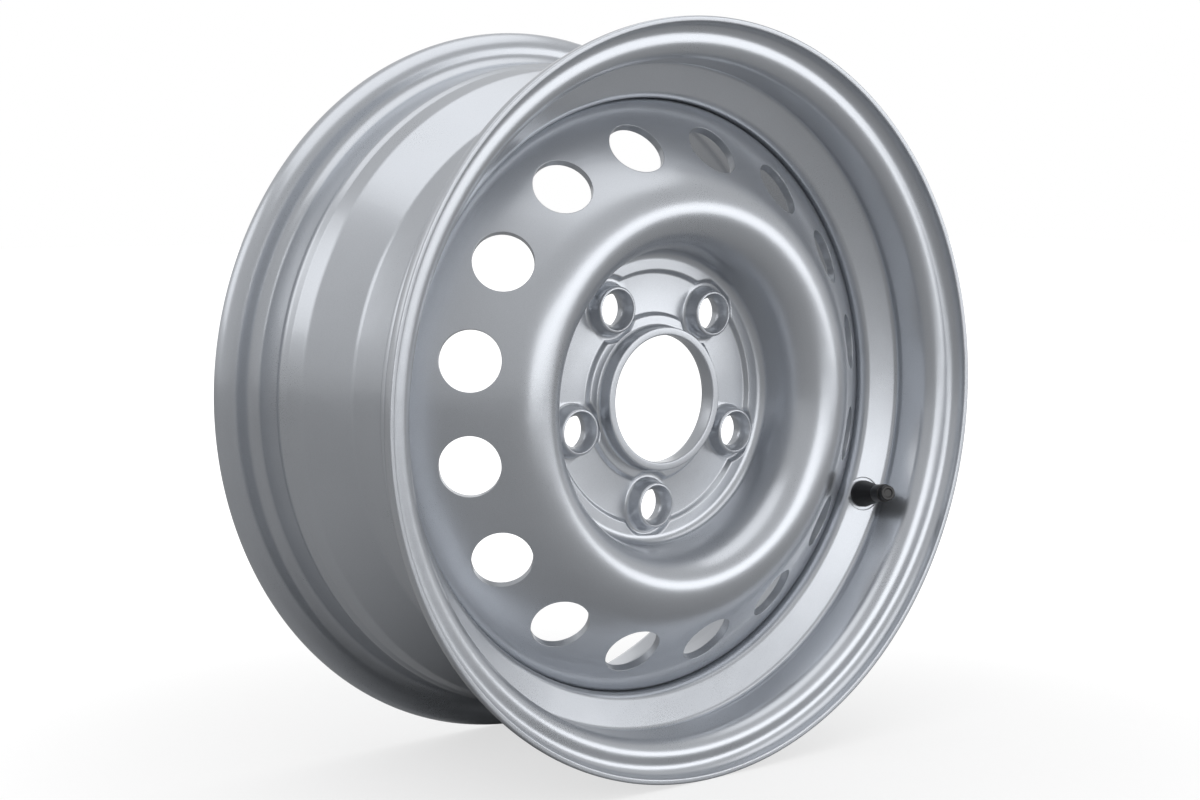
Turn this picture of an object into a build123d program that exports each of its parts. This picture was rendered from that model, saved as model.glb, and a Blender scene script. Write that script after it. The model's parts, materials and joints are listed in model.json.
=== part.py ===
from build123d import *
import math
import os
from collections import namedtuple

# Steel trailer wheel for a tubeless tyre, with its snap-in valve.
# Millimetres. +Y runs inboard along the axle, -Y faces outboard and +Z is up.
# The origin is the centre of the bolt circle, in the plane of the hub face.

# Rim: rolled steel hoop with two flanges and a drop-centre well
RIM_WIDTH = 139.7  # between the flanges' tyre faces
WHEEL_OFFSET = 30.0  # hub face to the rim's middle plane
BEAD_SEAT_R = 177.4  # bead seat, measured at the flange face
RIM_SHEET = 2.8
FLANGE_HEIGHT = 17.3  # above the bead seat
FLANGE_WIDTH = 11.25  # tyre face to the lip's edge
FLANGE_CURL_R = 9.5  # on the tyre side
LIP_DROP_DEG = 8.0  # how far the curl runs past its crest
HEEL_R = 6.5
BEAD_TAPER_DEG = 5.0
HUMP_START = 19.6  # the hump's three places are measured from the flange face
HUMP_CREST = 23.35
HUMP_END = 28.0
HUMP_RISE = 1.75  # sharp crest above the tapered seat
HUMP_INSIDE_R = 1.7
HUMP_FOOT_R = 4.0
WELL_DEPTH = 18.8  # bead seat down to the well's bottom
WELL_FRONT = 33.75  # outboard flange face to the well's outboard corner
WELL_REAR = 63.15  # inboard flange face to the well's inboard corner
WELL_WALL_DEG = 22.0  # outboard wall, leaning from the radial direction
WELL_FRONT_CORNER_R = 2.5
WELL_REAR_CORNER_R = 6.0
WALL_TOP_R = 3.2
LEDGE_END = 38.85  # inboard flange face to the edge of the inboard ledge
LEDGE_DROP = 4.1  # bead seat down to that edge
LEDGE_EDGE_R = 5.2

# Disc: deep-drawn steel pressing
DISC_SHEET = 4.2
BORE_R = 33.3
COLLAR_HEIGHT = 15.2  # collar's end, outboard of the hub face
COLLAR_ROOT_R = 1.8
PAD_STEP = 2.4  # the two rings stand this far outboard of the pad
INNER_RING = 5.7  # flat from the collar's wall to the inner step
PAD_WIDTH = 20.6
OUTER_RING = 9.9  # flat from the outer step to the bowl's foot
STEP_RUN = 1.6  # radial run of each step
STEP_EDGE_R = 1.0
BOWL_WALL_DEG = 6.0  # leaning from the axial direction
BOWL_FOOT_R = 5.0
CROWN_ROUND = 0.826  # share of the bowl's wall that rolls over into the crown
CONE_DEG = 39.0  # vent band, leaning from the radial direction
SKIRT_CORNER = -1.6  # where the vent band would meet the skirt's outer wall
SKIRT_CORNER_R = 0.8
SKIRT_END = 22.0
SKIRT_FIT = 0.1  # radial gap between skirt and well

# Round vents in the cone
VENT_COUNT = 16
VENT_INSET = 24.2  # vents' centres, in from the skirt's outer wall
VENT_R = 15.2
VENT_FIRST_DEG = -10.72  # angles run from +Z towards +X

# Bolt bosses with conical seats
BOLT_COUNT = 5
BOLT_CIRCLE = 112.0
BOLT_FIRST_DEG = -32.24
BOLT_HOLE_R = 8.0
BOSS_HEIGHT = 12.8
BOSS_TOP_R = 12.0
BOSS_DRAFT_DEG = 8.0
BOSS_LIP_R = 1.2
SEAT_MOUTH_R = 10.6
SEAT_HALF_DEG = 30.0
LOBE_CLEAR = 1.5  # pad's flat round each boss, to the collar's wall
BOSS_HOLLOW_R = 9.4
BOSS_HOLLOW_DEPTH = 5.6

# Weld seams between the skirt's inboard edge and the well
WELD_COUNT = 6
WELD_LEG = 4.0
WELD_ARC_DEG = 36.0
WELD_FIRST_DEG = 12.0
WELD_SEAT = 0.15

# Snap-in valve: heights run out along its axis from its seat on the well's wall
VALVE_ANGLE_DEG = 112.8
VALVE_RISE = 8.7  # its seat's centre, above the well's axle side
VALVE_HOLE_R = 5.75
VALVE_SEAT_R = 9.3
VALVE_SEAT_DEPTH = 0.5
MOULD_FIT = 0.03
RUBBER_GROOVE_FIT = 0.05
RUBBER_COLLAR_R = 7.5
RUBBER_COLLAR_HEIGHT = 2.4
RUBBER_TOP_R = 4.6
RUBBER_HEIGHT = 19.0
BULB_CLEAR = 0.3  # bulb's rim to the well's bottom
BULB_TIP_R = 4.8
BULB_LIP = 3.0
BULB_LIP_ROUND = 0.9  # rounded share of the lip that snaps behind the wall
BULB_LENGTH = 10.0
STEM_R = 3.0
STEM_THREAD_R = 3.8
STEM_HEIGHT = 30.0
STEM_TAIL = 1.5  # stem's end, short of the bulb's tip
STEM_BORE_R = 1.9
CORE_THREAD_R = 2.6
CORE_SEAT_HEIGHT = 18.3
CORE_SEAT_RISE = 1.2

# Valve core
CORE_FIT = 0.08
PLUG_FOOT = 22.6
PLUG_HEIGHT = 6.0
PLUG_HEAD = 2.6
PLUG_HEAD_WIDTH = 2.2
PLUG_BORE_R = 1.0
BARREL_FOOT = 13.0
BARREL_R = 1.7
BARREL_BORE_R = 1.35
BARREL_FLOOR = 0.8
BARREL_HEAD = 2.2
BARREL_SEAT_GAP = 0.1
PIN_R = 0.7
PIN_TOP_SHORT = 0.4  # pin's end, below the stem's
PIN_FIT = 0.1
COLLAR_R = 1.2
COLLAR_FOOT = 21.0
COLLAR_THICK = 0.6
CUP_R = 1.45
CUP_THICK = 1.1
CUP_SEAL_R = 1.3
CUP_SEAL_THICK = 0.9
CUP_GAP = 0.05
SPRING_R = 1.05
SPRING_WIRE = 0.24
SPRING_TURNS = 6
SPRING_GAP = 0.05

# Valve cap
CAP_R = 5.0
CAP_HEIGHT = 33.0
CAP_SKIRT_GAP = 0.7  # cap's open end above the rubber
CAP_FIT = 0.15
CAP_END = 1.6
CAP_SHOULDER_R = 4.2
CAP_SHOULDER = 4.2
CAP_RIM_R = 0.6
CAP_DISH_R = 2.6
CAP_DISH = 0.5
CAP_SEAL_THICK = 1.2
CAP_SEAL_GAP = 0.1

# Values that follow from the sizes above
OUTBOARD_FACE = WHEEL_OFFSET - RIM_WIDTH / 2
INBOARD_FACE = WHEEL_OFFSET + RIM_WIDTH / 2
WELL_R = BEAD_SEAT_R - WELL_DEPTH
WELL_INNER_R = WELL_R - RIM_SHEET
SKIRT_R = WELL_INNER_R - SKIRT_FIT
VENT_CIRCLE_R = SKIRT_R - VENT_INSET
COLLAR_WALL_R = BORE_R + DISC_SHEET
PAD_INNER_R = COLLAR_WALL_R + INNER_RING + STEP_RUN
PAD_OUTER_R = PAD_INNER_R + PAD_WIDTH
BOWL_R = PAD_OUTER_R + STEP_RUN + OUTER_RING
LOBE_R = BOLT_CIRCLE / 2 - COLLAR_WALL_R - LOBE_CLEAR
VALVE_CIRCLE_R = WELL_INNER_R + VALVE_RISE
VALVE_BACK_R = VALVE_CIRCLE_R + RIM_SHEET * math.sin(math.radians(WELL_WALL_DEG))
BULB_R = (VALVE_BACK_R - WELL_R) / math.cos(math.radians(WELL_WALL_DEG)) - BULB_CLEAR

Bend = namedtuple("Bend", "r y inside coined", defaults=(0.0, False))


def slope(degrees):
    return math.tan(math.radians(degrees))


def sheet_section(bends, sheet):
    """Face of a bent sheet. Its front runs through the bends' corners, its back lies to their left.

    A bend's radius is the one on its inside; a coined corner has that radius on both sides.
    """
    corners = [Vector(bend.r, bend.y) for bend in bends]
    runs = [(end - start).normalized() for start, end in zip(corners, corners[1:])]
    across = [Vector(-run.Y, run.X) for run in runs]
    back = [corners[0] + across[0] * sheet]
    front_radii = []
    back_radii = []
    for i in range(1, len(bends) - 1):
        reach = sheet / (1 + across[i - 1].dot(across[i]))
        back.append(corners[i] + (across[i - 1] + across[i]) * reach)
        inside = bends[i].inside
        outside = inside if bends[i].coined else inside + sheet
        turns_back = runs[i - 1].cross(runs[i]).Z > 0
        front_radii.append(outside if turns_back else inside)
        back_radii.append(inside if turns_back else outside)
    back.append(corners[-1] + across[-1] * sheet)
    front_line = FilletPolyline(*corners, radius=front_radii)
    back_line = FilletPolyline(*back, radius=back_radii)
    ends = [Edge.make_line(corners[0], back[0]), Edge.make_line(corners[-1], back[-1])]
    return make_face(front_line.edges() + back_line.edges() + ends)


def spot(r, y, degrees, radial, axial):
    """Plane at a place round the wheel, facing along a radial and axial direction."""
    angle = math.radians(degrees)
    out = Vector(math.sin(angle), 0, math.cos(angle))
    place = out * r + Vector(0, y, 0)
    facing = out * radial + Vector(0, axial, 0)
    return Plane(origin=place, x_dir=out.cross(Vector(0, 1, 0)), z_dir=facing)


def around(count, first):
    return [first + i * 360 / count for i in range(count)]


def turned(points, radii=0):
    """Solid of revolution about the local Z axis, from (radius, height) corners."""
    outline = FilletPolyline(*points, radius=radii, close=True)
    return revolve(Plane.XZ * make_face(outline.edges()), Axis.Z)


def flange_side(face, inward):
    """Tyre-side corners from a flange's lip to the start of its hump; inward is +1 or -1 along Y."""
    drop = math.radians(LIP_DROP_DEG)
    curl_r = BEAD_SEAT_R + FLANGE_HEIGHT - FLANGE_CURL_R
    past = FLANGE_CURL_R * (1 + math.sin(drop))
    root_r = curl_r + FLANGE_CURL_R * math.cos(drop) + past * math.tan(drop)
    lip_r = root_r - FLANGE_WIDTH * math.tan(drop)
    taper = slope(BEAD_TAPER_DEG)
    start_r = BEAD_SEAT_R - HUMP_START * taper
    crest_r = BEAD_SEAT_R - HUMP_CREST * taper + HUMP_RISE
    return [
        Bend(lip_r, face - inward * FLANGE_WIDTH),
        Bend(root_r, face, FLANGE_CURL_R - RIM_SHEET),
        Bend(BEAD_SEAT_R, face, HEEL_R),
        Bend(start_r, face + inward * HUMP_START, HUMP_FOOT_R),
        Bend(crest_r, face + inward * HUMP_CREST, HUMP_INSIDE_R),
    ]


def make_rim():
    taper = slope(BEAD_TAPER_DEG)
    well_front = OUTBOARD_FACE + WELL_FRONT
    wall_top_r = BEAD_SEAT_R - HUMP_END * taper
    wall_top = well_front - (wall_top_r - WELL_R) * slope(WELL_WALL_DEG)
    outboard = flange_side(OUTBOARD_FACE, 1)
    well = [
        Bend(wall_top_r, wall_top, WALL_TOP_R),
        Bend(WELL_R, well_front, WELL_FRONT_CORNER_R),
        Bend(WELL_R, INBOARD_FACE - WELL_REAR, WELL_REAR_CORNER_R),
        Bend(BEAD_SEAT_R - LEDGE_DROP, INBOARD_FACE - LEDGE_END, LEDGE_EDGE_R),
        Bend(wall_top_r, INBOARD_FACE - HUMP_END, HUMP_FOOT_R),
    ]
    inboard = flange_side(INBOARD_FACE, -1)[::-1]
    hoop = revolve(sheet_section(outboard + well + inboard, RIM_SHEET), Axis.Y)
    seat = valve_plane() * Pos(0, 0, BULB_R) * Cylinder(VALVE_SEAT_R, 2 * BULB_R)
    hole = valve_plane() * Cylinder(VALVE_HOLE_R, 4 * RIM_SHEET)
    return hoop - seat - hole


def valve_plane():
    """Seat of the valve: a coined flat on the axle side of the well's outboard wall."""
    lean = math.radians(WELL_WALL_DEG)
    well_front = OUTBOARD_FACE + WELL_FRONT
    tyre_side = well_front - (VALVE_BACK_R - WELL_R) * math.tan(lean)
    axle_side = tyre_side - RIM_SHEET * math.cos(lean)
    wall = spot(VALVE_CIRCLE_R, axle_side, VALVE_ANGLE_DEG, -math.sin(lean), -math.cos(lean))
    return wall.offset(-VALVE_SEAT_DEPTH)


def cone_front(r):
    """Axial place of the vent band's front at a radius."""
    return SKIRT_CORNER - (SKIRT_R - r) * slope(CONE_DEG)


def crown_corner():
    """Sharp corner where the bowl's wall and the vent band would meet."""
    lean = slope(BOWL_WALL_DEG)
    rise = slope(CONE_DEG)
    ring = -DISC_SHEET - PAD_STEP
    corner_r = (BOWL_R + lean * (ring - cone_front(0))) / (1 + lean * rise)
    return corner_r, cone_front(corner_r)


def make_disc():
    pad = -DISC_SHEET
    ring = pad - PAD_STEP
    crown_r, crown_y = crown_corner()
    wall = math.hypot(crown_r - BOWL_R, crown_y - ring)
    turn = math.radians(90 + CONE_DEG - BOWL_WALL_DEG)
    crown_round = CROWN_ROUND * wall / math.tan(turn / 2)
    bends = [
        Bend(COLLAR_WALL_R, -COLLAR_HEIGHT),
        Bend(COLLAR_WALL_R, ring, COLLAR_ROOT_R),
        Bend(PAD_INNER_R - STEP_RUN, ring, STEP_EDGE_R, True),
        Bend(PAD_INNER_R, pad, STEP_EDGE_R, True),
        Bend(PAD_OUTER_R, pad, STEP_EDGE_R, True),
        Bend(PAD_OUTER_R + STEP_RUN, ring, STEP_EDGE_R, True),
        Bend(BOWL_R, ring, BOWL_FOOT_R),
        Bend(crown_r, crown_y, crown_round - DISC_SHEET),
        Bend(SKIRT_R, SKIRT_CORNER, SKIRT_CORNER_R),
        Bend(SKIRT_R, SKIRT_END),
    ]
    disc = revolve(sheet_section(bends, DISC_SHEET), Axis.Y)
    for degrees in around(BOLT_COUNT, BOLT_FIRST_DEG):
        place = spot(BOLT_CIRCLE / 2, 0, degrees, 0, -1)
        disc = disc - place * boss_flat() + place * boss() - place * boss_passage()
    lean = math.radians(CONE_DEG)
    for degrees in around(VENT_COUNT, VENT_FIRST_DEG):
        place = spot(VENT_CIRCLE_R, cone_front(VENT_CIRCLE_R), degrees, math.sin(lean), -math.cos(lean))
        disc -= place * Cylinder(VENT_R, 4 * DISC_SHEET)
    return disc


def boss_flat():
    """Room that clears the rings off the pad's flat round a boss."""
    return Pos(0, 0, DISC_SHEET) * Cylinder(LOBE_R, BOSS_HEIGHT, align=(Align.CENTER, Align.CENTER, Align.MIN))


def boss():
    """Drawn boss on the round of pad that carries it."""
    foot_r = BOSS_TOP_R + (BOSS_HEIGHT - DISC_SHEET) * slope(BOSS_DRAFT_DEG)
    outline = [
        (0, 0),
        (LOBE_R, 0),
        (LOBE_R, DISC_SHEET),
        (foot_r, DISC_SHEET),
        (BOSS_TOP_R, BOSS_HEIGHT),
        (0, BOSS_HEIGHT),
    ]
    return turned(outline, [0, 0, 0, BOSS_LIP_R, BOSS_LIP_R, 0])


def boss_passage():
    """Bolt hole with its conical seat in front and the hollow of the draw behind."""
    seat_foot = BOSS_HEIGHT - (SEAT_MOUTH_R - BOLT_HOLE_R) / slope(SEAT_HALF_DEG)
    hollow_mouth_r = BOSS_HOLLOW_R + BOSS_HOLLOW_DEPTH * slope(BOSS_DRAFT_DEG)
    return turned([
        (0, 0),
        (hollow_mouth_r, 0),
        (BOSS_HOLLOW_R, BOSS_HOLLOW_DEPTH),
        (BOLT_HOLE_R, BOSS_HOLLOW_DEPTH),
        (BOLT_HOLE_R, seat_foot),
        (SEAT_MOUTH_R, BOSS_HEIGHT),
        (0, BOSS_HEIGHT),
    ])


def make_welds():
    """Fillet welds in the corner of the skirt's inboard edge and the well."""
    outer_r = WELL_INNER_R - WELD_SEAT
    foot = SKIRT_END + WELD_SEAT
    corner = Polyline((outer_r, foot), (outer_r, foot + WELD_LEG), (outer_r - WELD_LEG, foot), close=True)
    seam = revolve(make_face(corner.edges()), Axis.Y, WELD_ARC_DEG)
    return Compound([Rot(0, degrees, 0) * seam for degrees in around(WELD_COUNT, WELD_FIRST_DEG)])


def make_valve_rubber():
    behind = VALVE_SEAT_DEPTH - RIM_SHEET - RUBBER_GROOVE_FIT
    groove_r = VALVE_HOLE_R - RUBBER_GROOVE_FIT
    bore_r = STEM_R + MOULD_FIT
    outline = [
        (bore_r, behind - BULB_LENGTH),
        (BULB_TIP_R, behind - BULB_LENGTH),
        (BULB_R, behind - BULB_LIP),
        (BULB_R, behind),
        (groove_r, behind),
        (groove_r, RUBBER_GROOVE_FIT),
        (RUBBER_COLLAR_R, RUBBER_GROOVE_FIT),
        (RUBBER_COLLAR_R, RUBBER_COLLAR_HEIGHT),
        (RUBBER_TOP_R, RUBBER_HEIGHT),
        (bore_r, RUBBER_HEIGHT),
    ]
    lip_round = BULB_LIP_ROUND * (BULB_R - groove_r)
    return turned(outline, [0, 1, 1, lip_round, 0, 0, 0.6, 1, 0.8, 0])


def make_valve_stem():
    tail = VALVE_SEAT_DEPTH - RIM_SHEET - RUBBER_GROOVE_FIT - BULB_LENGTH + STEM_TAIL
    shoulder = RUBBER_HEIGHT + MOULD_FIT
    return turned([
        (STEM_BORE_R, tail),
        (STEM_R, tail),
        (STEM_R, shoulder),
        (STEM_THREAD_R, shoulder),
        (STEM_THREAD_R, STEM_HEIGHT),
        (CORE_THREAD_R, STEM_HEIGHT),
        (CORE_THREAD_R, CORE_SEAT_HEIGHT + CORE_SEAT_RISE),
        (STEM_BORE_R, CORE_SEAT_HEIGHT),
    ])


def make_core_plug():
    """Threaded plug of the core, with a bar-shaped head for the key."""
    plug_r = CORE_THREAD_R - CORE_FIT
    plug = turned([
        (PLUG_BORE_R, PLUG_FOOT),
        (plug_r, PLUG_FOOT),
        (plug_r, PLUG_FOOT + PLUG_HEIGHT),
        (PLUG_BORE_R, PLUG_FOOT + PLUG_HEIGHT),
    ])
    head_foot = PLUG_FOOT + PLUG_HEIGHT - PLUG_HEAD
    side = Box(2 * plug_r, plug_r, PLUG_HEAD, align=(Align.CENTER, Align.MIN, Align.MIN))
    for turn in (0, 180):
        plug -= Rot(0, 0, turn) * Pos(0, PLUG_HEAD_WIDTH / 2, head_foot) * side
    return plug


def make_core_barrel():
    head_r = CORE_THREAD_R - CORE_FIT
    head_foot = PLUG_FOOT - MOULD_FIT - BARREL_HEAD
    floor_bore_r = PIN_R + PIN_FIT
    return turned([
        (floor_bore_r, BARREL_FOOT),
        (BARREL_R, BARREL_FOOT),
        (BARREL_R, head_foot),
        (head_r, head_foot),
        (head_r, PLUG_FOOT - MOULD_FIT),
        (BARREL_BORE_R, PLUG_FOOT - MOULD_FIT),
        (BARREL_BORE_R, BARREL_FOOT + BARREL_FLOOR),
        (floor_bore_r, BARREL_FOOT + BARREL_FLOOR),
    ])


def make_barrel_gasket():
    """Conical ring that seals the barrel against the stem's seat."""
    head_foot = PLUG_FOOT - MOULD_FIT - BARREL_HEAD
    bore_r = BARREL_R + MOULD_FIT
    foot = CORE_SEAT_HEIGHT + BARREL_SEAT_GAP
    rise = CORE_SEAT_RISE / (CORE_THREAD_R - STEM_BORE_R)
    foot_r = STEM_BORE_R - BARREL_SEAT_GAP / 2
    head_r = CORE_THREAD_R - CORE_FIT
    return turned([
        (bore_r, foot),
        (foot_r, foot),
        (head_r, foot + (head_r - foot_r) * rise),
        (head_r, head_foot - MOULD_FIT),
        (bore_r, head_foot - MOULD_FIT),
    ])


def make_core_pin():
    foot = BARREL_FOOT - CUP_GAP - CUP_SEAL_THICK - CUP_THICK
    top = STEM_HEIGHT - PIN_TOP_SHORT
    return turned([
        (0, foot),
        (PIN_R, foot),
        (PIN_R, COLLAR_FOOT),
        (COLLAR_R, COLLAR_FOOT),
        (COLLAR_R, COLLAR_FOOT + COLLAR_THICK),
        (PIN_R, COLLAR_FOOT + COLLAR_THICK),
        (PIN_R, top),
        (0, top),
    ])


def ring(inner_r, outer_r, foot, thick):
    return turned([(inner_r, foot), (outer_r, foot), (outer_r, foot + thick), (inner_r, foot + thick)])


def make_cup_seal():
    foot = BARREL_FOOT - CUP_GAP - CUP_SEAL_THICK
    return ring(PIN_R + MOULD_FIT, CUP_SEAL_R, foot, CUP_SEAL_THICK)


def make_core_cup():
    foot = BARREL_FOOT - CUP_GAP - CUP_SEAL_THICK - CUP_THICK
    return ring(PIN_R + MOULD_FIT, CUP_R, foot, CUP_THICK - MOULD_FIT)


def make_core_spring():
    foot = BARREL_FOOT + BARREL_FLOOR + SPRING_WIRE / 2 + SPRING_GAP
    height = COLLAR_FOOT - SPRING_WIRE / 2 - SPRING_GAP - foot
    path = Helix(height / SPRING_TURNS, height, SPRING_R)
    start = Plane(origin=path @ 0, z_dir=path % 0)
    return Pos(0, 0, foot) * sweep(start * RegularPolygon(SPRING_WIRE / 2, 6), path=path, is_frenet=True)


def make_valve_cap():
    foot = RUBBER_HEIGHT + CAP_SKIRT_GAP
    bore_r = STEM_THREAD_R + CAP_FIT
    shoulder = CAP_HEIGHT - CAP_SHOULDER
    ceiling = CAP_HEIGHT - CAP_END
    cap = turned(
        [
            (0, ceiling),
            (bore_r, ceiling),
            (bore_r, foot),
            (CAP_R, foot),
            (CAP_R, shoulder),
            (CAP_SHOULDER_R, shoulder),
            (CAP_SHOULDER_R, CAP_HEIGHT),
            (0, CAP_HEIGHT),
        ],
        [0, 0, 0, CAP_RIM_R, CAP_RIM_R, CAP_RIM_R / 2, CAP_RIM_R, 0],
    )
    return cap - Pos(0, 0, CAP_HEIGHT) * Cylinder(CAP_DISH_R, 2 * CAP_DISH)


def make_cap_seal():
    return Pos(0, 0, STEM_HEIGHT + CAP_SEAL_GAP) * Cylinder(
        STEM_THREAD_R - CAP_SEAL_GAP, CAP_SEAL_THICK, align=(Align.CENTER, Align.CENTER, Align.MIN)
    )


VALVE_PIECES = {
    "valve_rubber": make_valve_rubber,
    "valve_stem": make_valve_stem,
    "core_plug": make_core_plug,
    "core_barrel": make_core_barrel,
    "barrel_gasket": make_barrel_gasket,
    "core_pin": make_core_pin,
    "core_cup": make_core_cup,
    "cup_seal": make_cup_seal,
    "core_spring": make_core_spring,
    "valve_cap": make_valve_cap,
    "cap_seal": make_cap_seal,
}


def main():
    os.makedirs("parts", exist_ok=True)
    export_step(make_rim(), "parts/rim.step")
    export_step(make_disc(), "parts/disc.step")
    export_step(make_welds(), "parts/rim_disc_welds.step")
    for name, make in VALVE_PIECES.items():
        export_step(valve_plane() * make(), f"parts/{name}.step")


main()
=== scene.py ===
import json
import math
from collections import namedtuple

import bmesh
import bpy
from mathutils import Matrix, Vector


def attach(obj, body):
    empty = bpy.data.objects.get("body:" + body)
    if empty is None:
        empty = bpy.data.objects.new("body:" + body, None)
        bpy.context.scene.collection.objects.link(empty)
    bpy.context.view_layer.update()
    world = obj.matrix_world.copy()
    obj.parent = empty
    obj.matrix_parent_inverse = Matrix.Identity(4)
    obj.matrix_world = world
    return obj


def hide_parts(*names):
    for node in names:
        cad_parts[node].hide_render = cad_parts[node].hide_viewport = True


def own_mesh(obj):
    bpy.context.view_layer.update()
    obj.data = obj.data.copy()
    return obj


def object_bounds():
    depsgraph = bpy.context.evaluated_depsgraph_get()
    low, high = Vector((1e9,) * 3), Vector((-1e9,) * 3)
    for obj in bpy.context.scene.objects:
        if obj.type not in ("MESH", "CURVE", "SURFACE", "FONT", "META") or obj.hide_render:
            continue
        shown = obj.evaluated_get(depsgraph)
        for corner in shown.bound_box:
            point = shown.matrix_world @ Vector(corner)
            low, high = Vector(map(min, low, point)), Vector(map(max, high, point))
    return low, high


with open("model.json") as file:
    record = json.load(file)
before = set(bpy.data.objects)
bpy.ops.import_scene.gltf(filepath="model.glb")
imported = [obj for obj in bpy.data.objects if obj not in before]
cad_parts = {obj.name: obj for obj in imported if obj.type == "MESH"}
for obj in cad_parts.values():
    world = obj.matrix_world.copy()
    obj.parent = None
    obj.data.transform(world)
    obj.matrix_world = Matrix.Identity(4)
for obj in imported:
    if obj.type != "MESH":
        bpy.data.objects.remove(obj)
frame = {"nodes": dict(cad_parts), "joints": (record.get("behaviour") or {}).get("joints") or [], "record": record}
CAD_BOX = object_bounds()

bl_info = {
    "name": "Steel Trailer Wheel",
    "version": (1, 0, 0),
    "blender": (4, 5, 0),
    "location": "View3D > Sidebar > Wheel",
    "description": "Dresses a packed steel trailer wheel: rolled rim, pressed disc, weld seams and tyre valve",
    "category": "Add Mesh",
}

# The frame: +Y runs inboard along the axle, -Y faces outboard, +Z is up, metres
MM = 0.001
MOUNTS = {mount["name"]: mount for mount in frame["record"]["mounts"]}
JOINTS = {joint["name"]: joint for joint in frame["joints"]}
BOLTS = MOUNTS["wheel_bolts"]["dims"]
SEAT_R = MOUNTS["outboard_bead_seat"]["dims"]["r_mm"] * MM
OUTBOARD_FACE = MOUNTS["outboard_bead_seat"]["pos_m"][1]
INBOARD_FACE = MOUNTS["inboard_bead_seat"]["pos_m"][1]
VALVE_AXIS = Vector(JOINTS["cap_turn"]["axis"]).normalized()
CAP_PIVOT = Vector(JOINTS["cap_turn"]["pos_m"])
CAP_PIVOT_HEIGHT = 0.025  # the cap joint's place, above the valve's seat

WHEEL_STEPS = 360  # faces round the wheel
VALVE_STEPS = 72
ARC_STEP = math.radians(8)
SHARP_ANGLE = math.radians(35)
EDGE_ROUND = 0.0007  # worn round of a sheet's cut edge

Bend = namedtuple("Bend", "r y inside coined", defaults=(0.0, False))
Corner = namedtuple("Corner", "r y radius", defaults=(0.0,))


def length(name, description, default):
    return bpy.props.FloatProperty(
        name=name, description=description, default=default, unit="LENGTH", precision=5
    )


def angle(name, description, degrees):
    return bpy.props.FloatProperty(
        name=name, description=description, default=math.radians(degrees), subtype="ANGLE"
    )


def colour(name, description, default):
    return bpy.props.FloatVectorProperty(
        name=name, description=description, default=default, size=3, subtype="COLOR", min=0.0, max=1.0
    )


def share(name, description, default):
    return bpy.props.FloatProperty(
        name=name, description=description, default=default, subtype="FACTOR", min=0.0, max=1.0
    )


def count(name, description, default):
    return bpy.props.IntProperty(name=name, description=description, default=default, min=1)


def brightness(name, description, default):
    return bpy.props.FloatProperty(name=name, description=description, default=default, min=0.0)


class RimSizes(bpy.types.PropertyGroup):
    """Section of the rolled rim."""

    sheet: length("Sheet", "Thickness of the rolled sheet", 0.0028)
    flange_height: length("Flange height", "Flange crest above the bead seat", 0.0173)
    flange_width: length("Flange width", "Tyre face to the lip's edge", 0.01125)
    curl: length("Curl radius", "Radius of the flange's curl on the tyre side", 0.0095)
    lip_drop: angle("Lip drop", "How far the curl runs past its crest", 8.0)
    heel: length("Heel radius", "Radius between flange and bead seat", 0.0065)
    taper: angle("Seat taper", "Slope of the bead seat", 5.0)
    hump_start: length("Hump start", "Flange face to the hump's foot", 0.0196)
    hump_crest: length("Hump crest", "Flange face to the hump's crest", 0.02335)
    hump_end: length("Hump end", "Flange face to the end of the hump", 0.028)
    hump_rise: length("Hump rise", "Sharp crest above the tapered seat", 0.00175)
    well_depth: length("Well depth", "Bead seat down to the well's bottom", 0.0188)
    well_front: length("Well front", "Outboard flange face to the well's corner", 0.03375)
    well_rear: length("Well rear", "Inboard flange face to the well's corner", 0.06315)
    wall_lean: angle("Wall lean", "Outboard wall of the well, from the radial direction", 22.0)
    ledge_end: length("Ledge end", "Inboard flange face to the ledge's edge", 0.03885)
    ledge_drop: length("Ledge drop", "Bead seat down to the ledge's edge", 0.0041)
    hump_foot: length("Hump foot", "Bend radius at the hump's foot", 0.004)
    hump_round: length("Hump round", "Bend radius at the hump's crest", 0.0017)
    wall_top: length("Wall top", "Bend radius at the top of the outboard wall", 0.0032)
    wall_foot: length("Wall foot", "Bend radius at the foot of the outboard wall", 0.0025)
    slope_foot: length("Slope foot", "Bend radius where the well's slope starts", 0.006)
    slope_top: length("Slope top", "Bend radius where the slope meets the ledge", 0.0052)
    ledge_round: length("Ledge round", "Bend radius between ledge and hump", 0.004)


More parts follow.
